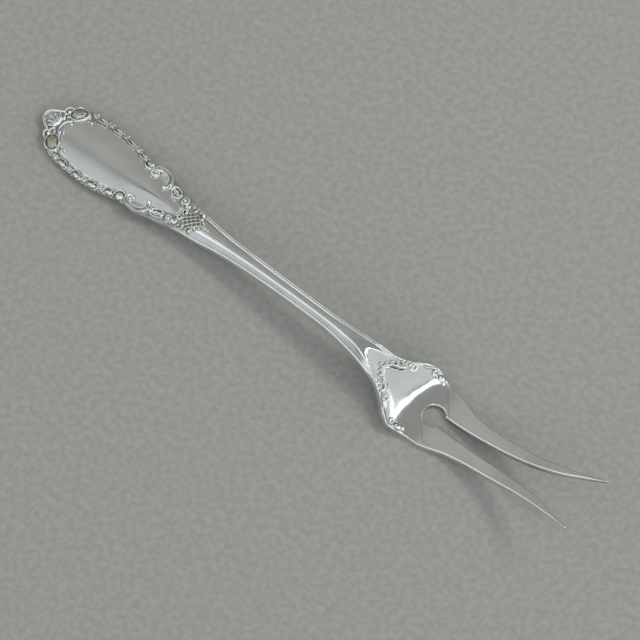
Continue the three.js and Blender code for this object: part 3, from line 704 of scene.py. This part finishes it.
def rosette(name, side):
    """A fluted oval shell in a ring, with curled leaves at its ends."""
    centre, turn, length, width = (6.6, 4.57), 50, 3.7, 2.6
    made = [shell(centre, length, width, turn, 1.0, 6)]
    made.append(wire(oval(centre, length + 0.45, width + 0.45, turn), (0.18, 0.18), 0.6))
    front_curl = smooth_path([(4.6, 2.75), (3.75, 2.95), (3.55, 3.7), (4.0, 4.5), (4.7, 4.9)])
    rear_curl = smooth_path([(8.1, 4.5), (8.65, 5.3), (8.4, 6.2), (7.6, 6.65)])
    outer_leaf = smooth_path([(4.95, 5.3), (5.6, 6.0), (6.6, 6.6)])
    made.append(wire(front_curl, (0.24, 0.4, 0.24), 1.0))
    made.append(wire(rear_curl, (0.2, 0.36, 0.2), 0.95))
    made.append(wire(outer_leaf, (0.16, 0.28, 0.16), 0.8))
    made += [bead(4.55, 3.5, 0.46, 0.95), bead(5.3, 2.35, 0.36, 0.9), bead(8.05, 3.75, 0.34, 0.85)]

    def on_shell(s, v, z):
        along, across = turned((0, 0), s - centre[0], v - centre[1], -math.radians(turn))
        return 1 - ease(np.hypot(along / (length / 2), across / (width / 2)), 0.85, 1.1)

    return strike(name, made, side, tarnish=on_shell)


def border_shell(at, run, inward, grow):
    """A scooped shell of the handle's border under an arched hood."""
    turn = math.degrees(math.atan2(run[1], run[0])) - 6
    made = [shell(at - 0.1 * inward + 0.15 * run, 2.4 * grow, 1.3, turn, 0.8, 5, 0.2)]
    hood = ((-1.5, -0.7), (-1.35, 0.2), (-0.7, 0.72), (0.7, 0.72), (1.35, 0.2), (1.5, -0.7))
    hood = smooth_path([at + grow * along * run + across * inward for along, across in hood], 30)
    made.append(wire(hood, (0.14, 0.2, 0.14), 0.9))
    return made


def border_leaf(at, run, inward, grow):
    """A small curled leaf between two shells of the border."""
    base = at - 0.85 * grow * run - 0.4 * inward
    tip = at + 0.85 * grow * run + 0.45 * inward
    return [leaf(base, tip, 1.1, 0.95, 1.5, 0.5), bead(*(at + 0.45 * run - 0.5 * inward), 0.28, 0.9)]


def handle_rim(name, side):
    """Shells and leaves along the handle's edge, the panel's lobe and a bud."""
    path = beside_edge(8.6, 26.3, 0.8, 400)
    length = np.concatenate(([0], np.cumsum(np.linalg.norm(np.diff(path, axis=0), axis=1))))
    made = []
    for k, grow in enumerate(BORDER_GROWTH):
        for part, share in ((border_leaf, 0.18), (border_shell, 0.66)):
            i = np.searchsorted(length, (k + share) / len(BORDER_GROWTH) * length[-1])
            run = path[i + 1] - path[i]
            run /= np.linalg.norm(run)
            made += part(path[i], run, np.array([run[1], -run[0]]), grow)
    lobe = smooth_path([(5.3, 0), (5.5, 1.0), (6.2, 2.0), (7.1, 2.7), (7.9, 3.6), (8.6, 4.6), (9.3, 5.2)])
    made.append(wire(lobe, (0.22, 0.22, 0.16), 0.5))
    made += [bead(6.45, 1.75, 0.36, 0.8), bead(7.2, 1.35, 0.3, 0.75)]
    made += [bead(10.35, 4.5, 0.3, 0.75), bead(9.4, 4.4, 0.24, 0.6)]
    made.append(shell((27.35, 5.3), 2.3, 1.9, -20, 1.0, 7))
    hood = smooth_path([(25.9, 5.6), (26.2, 4.6), (27.2, 4.0), (28.35, 4.3), (28.7, 5.1)])
    made.append(wire(hood, (0.16, 0.26, 0.16), 0.9))

    def on_border(s, v, z):
        return 0.2 * ease(v, 4.0, 5.0) * ease(z, 0.1, 0.3)

    return strike(name, made, side, tarnish=on_border)


def handle_scroll(name, side):
    """A gouged C-scroll, an oval leaf in a frame and a second volute down to the waist."""
    winding = spiral((29.8, 4.3), 1.0, 0.32, -168, 1.1)[::-1]
    sweep = smooth_path([winding[-1], (29.0, 4.85), (29.7, 5.5), (30.9, 5.72), (32.4, 5.6), (33.6, 4.85),
                         (34.0, 3.7), (33.75, 2.65)], 60)
    made = [wire(winding, (0.22, 0.42), 1.1), wire(sweep, (0.36, 0.58, 0.56, 0.36), 0.3)]
    run = np.gradient(sweep, axis=0)
    run /= np.linalg.norm(run, axis=1)[:, None]
    taper = np.interp(np.linspace(0, 1, len(sweep)), (0, 0.15, 0.85, 1), (0.5, 1, 1, 0.5))[:, None]
    for offset in (-0.42, 0.42):
        rail = sweep + offset * taper * np.stack((-run[:, 1], run[:, 0]), 1)
        made.append(wire(rail, (0.18, 0.26, 0.26, 0.18), 1.1))
    made += [bead(29.8, 4.3, 0.42, 1.0), bead(33.6, 2.45, 0.5, 1.0)]
    frame_end = smooth_path([(34.0, 5.3), (34.5, 4.5), (34.85, 3.6), (34.7, 2.8)])
    made.append(wire(frame_end, (0.2, 0.28, 0.18), 1.0))
    made.append(wire(oval((36.75, 3.3), 3.2, 2.1, -22), (0.24, 0.24), 0.85))
    made.append(leaf((35.4, 3.8), (38.0, 2.8), 1.2, 0.5, 2.5, 0.6))
    made += [bead(35.55, 3.55, 0.32, 0.95), bead(38.05, 3.2, 0.36, 1.0), bead(37.7, 2.45, 0.3, 0.95)]
    made.append(wire(spiral((39.6, 2.8), 1.08, 0.36, 100, -1.3), (0.26, 0.34, 0.22), 1.0))
    made += [bead(39.6, 2.8, 0.4, 0.95), bead(41.0, 2.35, 0.7, 0.6)]
    return strike(name, made, side)


def lattice_field():
    """A diamond lattice in a pointed field."""
    deselect()
    bpy.ops.mesh.primitive_grid_add(x_subdivisions=110, y_subdivisions=70, size=1)
    field = bpy.context.object
    x, y, _ = places(field).T
    s = LATTICE_MIDDLE + LATTICE_LENGTH * x
    reach = np.interp(s, (41.7, 42.5, 44.8, 46.7), (0.9, 2.1, 2.0, 0.35))
    v = 2 * y * reach
    bars = [np.cos(2 * math.pi * (s - 44.0 + turn * 1.1 * v) / LATTICE_PITCH) for turn in (1, -1)]
    ridge = np.maximum(*[ease(bar, -0.1, 1.1) for bar in bars])
    set_places(field, np.stack((s, v, LATTICE_GROUND + LATTICE_RISE * ridge), 1))
    bpy.ops.object.mode_set(mode="EDIT")
    bpy.ops.mesh.select_all(action="SELECT")
    down = (0, 0, -LATTICE_GROUND - LATTICE_RISE)
    bpy.ops.mesh.extrude_region_move(TRANSFORM_OT_translate={"value": down})
    bpy.ops.object.mode_set(mode="OBJECT")
    face_outward()
    return field


def lattice_cartouche(name):
    """The lattice framed by grains and small volutes, pointed towards the stem."""
    made = [lattice_field()]
    for s, v, radius in ((41.85, 0.9, 0.32), (42.45, 2.75, 0.34), (43.4, 2.4, 0.42), (43.6, 3.05, 0.28),
                         (44.5, 2.45, 0.3), (45.35, 2.5, 0.42), (46.0, 1.35, 0.38), (46.9, 0.75, 0.28)):
        made += bead_pair(s, v, radius, 0.95)
    made += [bead(47.6, 0, 0.3, 0.8), bead(48.2, 0, 0.36, 0.9), bead(48.9, 0, 0.28, 0.8)]
    curl = spiral((40.4, 0.66), 0.74, 0.24, -100, 1.25)
    made += wire_pair(curl, (0.22, 0.27, 0.18), 0.95)
    for side in (1, -1):
        made.append(leaf((40.7, 1.5 * side), (42.1, 1.3 * side), 0.75, 0.9, 1.5, 0.4))
    made += bead_pair(40.4, 0.66, 0.28, 0.9)

    def in_field(s, v, z):
        return (0.2 + 0.45 * (1 - ease(z, 0.22, 0.36))) * (1 - ease(z, 0.48, 0.6)) * ease(s, 41.4, 42.0)

    return strike(name, made, smooth=1, tarnish=in_field)


def neck_arch(name):
    """An ogee arch of scrolls between the stem and the bowl of the head, with grains behind it."""
    arm = smooth_path([(98.0, 0), (98.6, 0.75), (99.3, 1.6), (100.3, 2.15), (101.1, 2.6), (101.8, 3.5)])
    line = smooth_path([(98.6, 0), (99.5, 0.95), (100.5, 1.45), (101.5, 2.0), (102.2, 3.1)])
    curl = spiral((103.1, 4.65), 1.0, 0.32, 200, -1.3)
    hook = smooth_path([(102.3, 5.3), (103.2, 6.0), (104.3, 6.75)])
    made = [bead(97.4, 0, 0.4, 1.05)]
    made += wire_pair(arm, (0.4, 0.44, 0.36), 1.15)
    made += wire_pair(line, (0.1, 0.13, 0.1), 0.4)
    made += wire_pair(curl, (0.28, 0.34, 0.2), 1.05)
    made += wire_pair(hook, (0.12, 0.24, 0.12), 0.85)
    for s, v, radius in ((98.1, 1.1, 0.34), (98.85, 2.05, 0.42), (99.7, 2.85, 0.4), (100.5, 3.6, 0.4),
                         (101.25, 4.4, 0.38), (103.1, 4.65, 0.34)):
        made += bead_pair(s, v, radius, 1.1)
    return strike(name, made, foot=NECK_FOOT_WIDTH)


def shoulder_scroll(name, side):
    """A volute, a drop leaf and a grain on the shoulder of the head."""
    volute = spiral((107.55, 7.4), 0.88, 0.28, 150, -1.3)
    tail = smooth_path([(104.6, 6.5), (105.6, 7.2), (106.7, 7.85)], 20)
    made = [wire(volute, (0.24, 0.32, 0.2), 0.95), bead(107.55, 7.4, 0.3, 0.9)]
    made.append(wire(tail, (0.14, 0.26), 0.75))
    made.append(shell((109.75, 7.45), 2.2, 1.35, -8, 0.75, 3))
    made += [bead(108.6, 6.95, 0.28, 0.75), bead(110.75, 6.95, 0.44, 0.85)]
    return strike(name, made, side)


# Finishes
class Value:
    """One socket of a finish; sums and products of values add their Math nodes."""

    def __init__(self, finish, socket):
        self.finish, self.socket = finish, socket

    def math(self, operation, first, second):
        return self.finish.node("Math", {"operation": operation}, {0: first, 1: second})

    def __add__(self, other):
        return self.math("ADD", self, other)

    def __radd__(self, other):
        return self.math("ADD", other, self)

    def __sub__(self, other):
        return self.math("SUBTRACT", self, other)

    def __rsub__(self, other):
        return self.math("SUBTRACT", other, self)

    def __mul__(self, other):
        return self.math("MULTIPLY", self, other)

    def __rmul__(self, other):
        return self.math("MULTIPLY", other, self)

    def __truediv__(self, other):
        return self.math("DIVIDE", self, other)

    def at_least(self, least):
        return self.math("MAXIMUM", self, least)

    def size(self):
        return self.math("ABSOLUTE", self, 0.0)


class Finish:
    """A node tree of a surface finish or of the room's light."""

    def __init__(self, owner):
        owner.use_nodes = True
        self.owner, self.tree = owner, owner.node_tree
        self.tree.nodes.clear()

    def node(self, kind, settings=None, inputs=None, output=0):
        """A node with its settings, and its sockets set or linked; gives one of its outputs."""
        made = self.tree.nodes.new("ShaderNode" + kind)
        for key, setting in (settings or {}).items():
            setattr(made, key, setting)
        for key, given in (inputs or {}).items():
            if isinstance(given, Value):
                self.tree.links.new(given.socket, made.inputs[key])
            else:
                made.inputs[key].default_value = given
        return Value(self, made.outputs[output]) if made.outputs else None

    def between(self, share, first, second):
        """A colour mixed from two, by a share."""
        return self.node("Mix", {"data_type": "RGBA"}, {0: share, 6: first, 7: second}, 2)

    def range(self, value, start, end):
        """0 at start to 1 at end, smooth and held beyond."""
        return self.node("MapRange", {"interpolation_type": "SMOOTHSTEP"}, {0: value, 1: start, 2: end})

    def attribute(self, name):
        return self.node("Attribute", {"attribute_name": name}, output=2)

    def noise(self, place, scale, detail=3.0, roughness=0.55):
        return self.node("TexNoise", None, {
            "Vector": place, "Scale": scale, "Detail": detail, "Roughness": roughness})

    def stretched(self, place, scale):
        return self.node("Mapping", None, {"Vector": place, "Scale": scale})

    def surface(self, inputs):
        """Ends a material with its surface."""
        self.node("OutputMaterial", None, {"Surface": self.node("BsdfPrincipled", None, inputs)})
        return self.owner

    def metal(self, colour, roughness, normal):
        return self.surface({"Base Color": colour, "Metallic": 1.0, "Roughness": roughness, "Normal": normal})


SILVER = (0.90, 0.905, 0.885, 1)
DULL_SILVER = (0.78, 0.78, 0.745, 1)
# Dark patina; the same colour paints shade on the inner walls of the keyhole and the tines
DARK_PATINA_AND_SHADE = (0.16, 0.155, 0.13, 1)
# Black patina of the hollows, which also stands in for painted shade in every recess
BLACK_PATINA_AND_SHADE = (0.035, 0.034, 0.03, 1)
GREY_GROUND = (0.3, 0.297, 0.265, 1)
YELLOW_TARNISH = (0.53, 0.517, 0.41, 1)
DARK_STONE = (0.308, 0.302, 0.283, 1)
PALE_STONE = (0.365, 0.357, 0.336, 1)


def worked_silver():
    """The forged bar: bright where it is burnished, satin on the panel and the tines, dark with patina in its
    grooves, and with painted shade on the inner walls of the keyhole and the tines.
    """
    finish = Finish(bpy.data.materials.new("worked_silver"))
    place = finish.node("TexCoord", output=3)
    satin, patina_and_shade = finish.attribute("satin"), finish.attribute("patina_and_shade")
    cloud = finish.noise(place, 140.0)
    fine = finish.noise(finish.stretched(place, (500.0, 9000.0, 9000.0)), 1.0, 2.0)
    wear = finish.noise(finish.stretched(place, (160.0, 2600.0, 2600.0)), 1.0, 4.0, 0.7)
    dulled = finish.range(cloud, 0.3, 0.7) * 0.6
    colour = finish.between(dulled, SILVER, DULL_SILVER)
    # The dark mark is patina round the panel, in the grooves and at the tine roots, and painted shade on the
    # inner walls of the keyhole and the tines
    dark = patina_and_shade * finish.range(cloud, 0.1, 0.7)
    colour = finish.between(dark, colour, DARK_PATINA_AND_SHADE)
    rubbed = finish.range(wear, 0.45, 0.75)
    roughness = 0.075 + 0.05 * rubbed + 0.12 * satin + 0.05 * satin * fine + 0.2 * dark
    wave = finish.noise(place, 260.0, 1.0)
    height = wave * (1 - 0.6 * satin) + 0.06 * fine * satin + 0.025 * wear
    normal = finish.node("Bump", None, {"Height": height, "Strength": 0.35, "Distance": 0.000045})
    return finish.metal(colour, roughness, normal)


def struck_silver(name):
    """A struck ornament: black in its hollows from patina and painted shade, rubbed bright on its heights,
    yellow where it is tarnished.
    """
    finish = Finish(bpy.data.materials.new(name))
    place = finish.node("TexCoord", output=3)
    blotch = finish.noise(place, 900.0)
    fine = finish.noise(place, 5200.0, 2.0)
    rubbed = finish.range(finish.attribute("rise") + 0.25 * (blotch - 0.5), 0.05, 0.4)
    yellow = finish.attribute("tarnish") * finish.range(blotch, 0.1, 0.5)
    # Black in the hollows: patina, deepened into painted shade wherever the relief is recessed
    black = finish.range(finish.attribute("hollow") + 0.03 * (blotch - 0.5), 0.02, 0.1) * (1 - 0.8 * yellow)
    colour = finish.between(rubbed, GREY_GROUND, SILVER)
    colour = finish.between(yellow, colour, YELLOW_TARNISH)
    colour = finish.between(0.92 * black, colour, BLACK_PATINA_AND_SHADE)
    roughness = 0.2 - 0.1 * rubbed + 0.2 * black + 0.48 * yellow + 0.05 * fine
    normal = finish.node("Bump", None, {"Height": blotch + 0.3 * fine, "Strength": 0.25, "Distance": 0.00002})
    return finish.metal(colour, roughness, normal)


def stone_floor():
    """A plain pale floor with a faint grain."""
    finish = Finish(bpy.data.materials.new("pale_floor"))
    place = finish.node("TexCoord", output=3)
    grain = finish.noise(place, 700.0, 4.0)
    colour = finish.between(finish.range(grain, 0.3, 0.7), DARK_STONE, PALE_STONE)
    return finish.surface({"Base Color": colour, "Roughness": 0.7})


# Pieces
def dress(piece, finish, slot, *nodes):
    """Gives a piece its finish and its place in the frame."""
    piece.data.materials.clear()
    piece.data.materials.append(finish)
    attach(piece, "root")
    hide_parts(*nodes)


def side_of(node):
    """1 or -1: the side of the middle line that a node lies on."""
    low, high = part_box(node)
    return 1 if low.y + high.y > 0 else -1


def make_fork():
    """Forges the bar and cuts it into its pieces, then strikes the ornaments."""
    burnished = worked_silver()
    bright = struck_silver("struck_silver")
    yellowed = struck_silver("tarnished_silver")
    blank, normals = forge_blank()
    stretches = (
        ("handle_plate", "satin_silver", 0, STEM_START),
        ("stem", "polished_silver", STEM_START, HEAD_START),
        ("head", "polished_silver", HEAD_START, TINE_START))
    for node, slot, start, end in stretches:
        dress(cut_from_blank(blank, normals, "forged_" + node, start, end), burnished, slot, node)
    for node in ("left_tine", "right_tine"):
        piece = cut_from_blank(blank, normals, "forged_" + node, TINE_START, FORK_END, side_of(node))
        dress(piece, burnished, "satin_silver", node)
    bpy.data.objects.remove(blank)
    for make, finish, slot, node in (
            (tip_crest, bright, "polished_silver", "tip_crest"),
            (lattice_cartouche, yellowed, "tarnished_silver", "lattice_cartouche"),
            (neck_arch, bright, "polished_silver", "neck_arch")):
        dress(make("struck_" + node), finish, slot, node)
    for make, finish, slot, kind in (
            (rosette, yellowed, "tarnished_silver", "rosette"),
            (handle_rim, bright, "polished_silver", "handle_rim"),
            (handle_scroll, bright, "polished_silver", "handle_scroll"),
            (shoulder_scroll, bright, "polished_silver", "shoulder_scroll")):
        for node in ("left_" + kind, "right_" + kind):
            dress(make("struck_" + node, side_of(node)), finish, slot, node)


make_fork()


# Floor, light and camera
FLOOR_SIZE = 4
KEY_TOWARDS = Vector((0.36, 0.46, 0.81))
KEY_DISTANCE = 1.2
KEY_SIZE = 0.32
KEY_LEVEL = 11.9
TUBE_LEVEL = 2.2
COOL_LIGHT = (0.94, 1.0, 1.02, 1)
WARM_LIGHT = (0.99, 1.0, 0.955, 1)
WALL_LIGHT = (0.935, 1.0, 1.0, 1)


def lay_floor():
    deselect()
    bpy.ops.mesh.primitive_plane_add(size=FLOOR_SIZE, location=(0, 0, 0))
    floor = bpy.context.object
    floor.name = "pale_floor"
    bpy.ops.object.mode_set(mode="EDIT")
    bpy.ops.mesh.subdivide(number_cuts=3)
    bpy.ops.object.mode_set(mode="OBJECT")
    floor.data.materials.append(stone_floor())


def room_walls(room, along, across):
    """Brightness of a grey wall beyond the handle with a dark beam, a paler one beyond the tines, and two
    windows on the near side.
    """
    far = 0.31 + 0.08 * (1 - room.range(across, 0.5, 0.85)) + 0.17 * (1 - room.range(across, 0.1, 0.2))
    beam = 1 - room.range((across - 0.23).size(), 0.018, 0.05)
    handle_wall = far * (1 - 0.85 * beam)
    tine_wall = 0.27 + 0.32 * room.range(along, 0.4, 0.48) + 1.1 * room.range(along, 0.95, 1.3)
    level = handle_wall + (tine_wall - handle_wall) * room.range(along, -0.42, -0.12)
    high_window = (1 - room.range(across, -0.24, -0.08)) * room.range(across, -0.52, -0.32)
    high_window = high_window * (0.48 + 0.3 * room.range(along, -0.2, 0.1))
    low_window = (0.6 + 0.5 * room.range(along, -0.3, 0.1)) * (1 - room.range(across, -1.3, -0.85))
    return level + (high_window + low_window) * (1 - room.range(along, 0.6, 1.0))


def tube_lamp(room, along, across):
    """A bright line across the ceiling, bowed at both ends and broader at one."""
    flare = room.range(across, 0.68, 0.82)
    line = 0.365 + 0.1 * (across - 0.42) + 0.5 * (across - 0.42).at_least(0.0) + 0.06 * flare
    line = line + 0.1 * (1 - room.range(across, 0.06, 0.24))
    off_line = (along - line).size() * (1 - 0.5 * flare)
    lamp = (1 - room.range(off_line, 0.016, 0.05)) * (1 - room.range(across, 0.85, 1.0))
    return lamp * room.range(across, -0.1, 0.05) * (1 - 0.6 * flare)


def paint_room():
    """The room that the silver mirrors; along and across are places on its ceiling at height 1."""
    world = bpy.data.worlds.new("studio")
    bpy.context.scene.world = world
    room = Finish(world)
    towards = room.node("TexCoord")
    x, y, z = (room.node("SeparateXYZ", None, {0: towards}, axis) for axis in range(3))
    height = z.at_least(0.03)
    along, across = x / height, y / height
    dimmed = 0.12 + 0.88 * room.range(z, 0.05, 0.3)
    level = room_walls(room, along, across) * dimmed + TUBE_LEVEL * tube_lamp(room, along, across)
    tint = room.between(room.range(across, 0.15, 0.45), COOL_LIGHT, WARM_LIGHT)
    tint = room.between(room.range(along, 0.1, 0.4), tint, WALL_LIGHT)
    sky = room.node("Background", None, {"Color": tint, "Strength": level})
    room.node("OutputWorld", None, {"Surface": sky})


def hang_key():
    """A soft lamp for the floor, which the silver doesn't mirror."""
    deselect()
    bpy.ops.object.light_add(type="AREA", location=KEY_DISTANCE * KEY_TOWARDS)
    key = bpy.context.object
    key.name = "key_softbox"
    key.rotation_euler = KEY_TOWARDS.to_track_quat("Z", "Y").to_euler()
    key.data.shape = "RECTANGLE"
    key.data.size = key.data.size_y = KEY_SIZE
    key.data.energy = KEY_LEVEL * math.pi * KEY_SIZE * KEY_SIZE
    key.visible_glossy = False


CAMERA_PLACE = (0.20745, -0.26048, 0.70032)
CAMERA_AZIMUTH = 37.986
CAMERA_ELEVATION = 64.583
CAMERA_ROLL = 2.778
SENSOR_WIDTH = 36.0
FOCAL_PIXELS = 3569.0
IMAGE_PIXELS = 640.0


def set_camera():
    """The photograph's viewpoint."""
    azimuth = math.radians(CAMERA_AZIMUTH)
    elevation = math.radians(CAMERA_ELEVATION)
    roll = math.radians(CAMERA_ROLL)
    back = np.array((math.sin(azimuth) * math.cos(elevation), -math.cos(azimuth) * math.cos(elevation),
                     math.sin(elevation)))
    right = np.array((math.cos(azimuth), math.sin(azimuth), 0.0))
    up = np.cross(back, right)
    turned_right = math.cos(roll) * right + math.sin(roll) * up
    turned_up = math.cos(roll) * up - math.sin(roll) * right
    lens = bpy.data.cameras.new("photo_camera")
    lens.sensor_width = SENSOR_WIDTH
    lens.lens = FOCAL_PIXELS * SENSOR_WIDTH / IMAGE_PIXELS
    lens.clip_start = 0.01
    camera = bpy.data.objects.new("photo_camera", lens)
    bpy.context.collection.objects.link(camera)
    turn = Matrix((turned_right, turned_up, back)).transposed().to_4x4()
    camera.matrix_world = Matrix.Translation(CAMERA_PLACE) @ turn
    bpy.context.scene.camera = camera


lay_floor()
paint_room()
hang_key()
set_camera()
bpy.context.scene.view_settings.view_transform = "Standard"
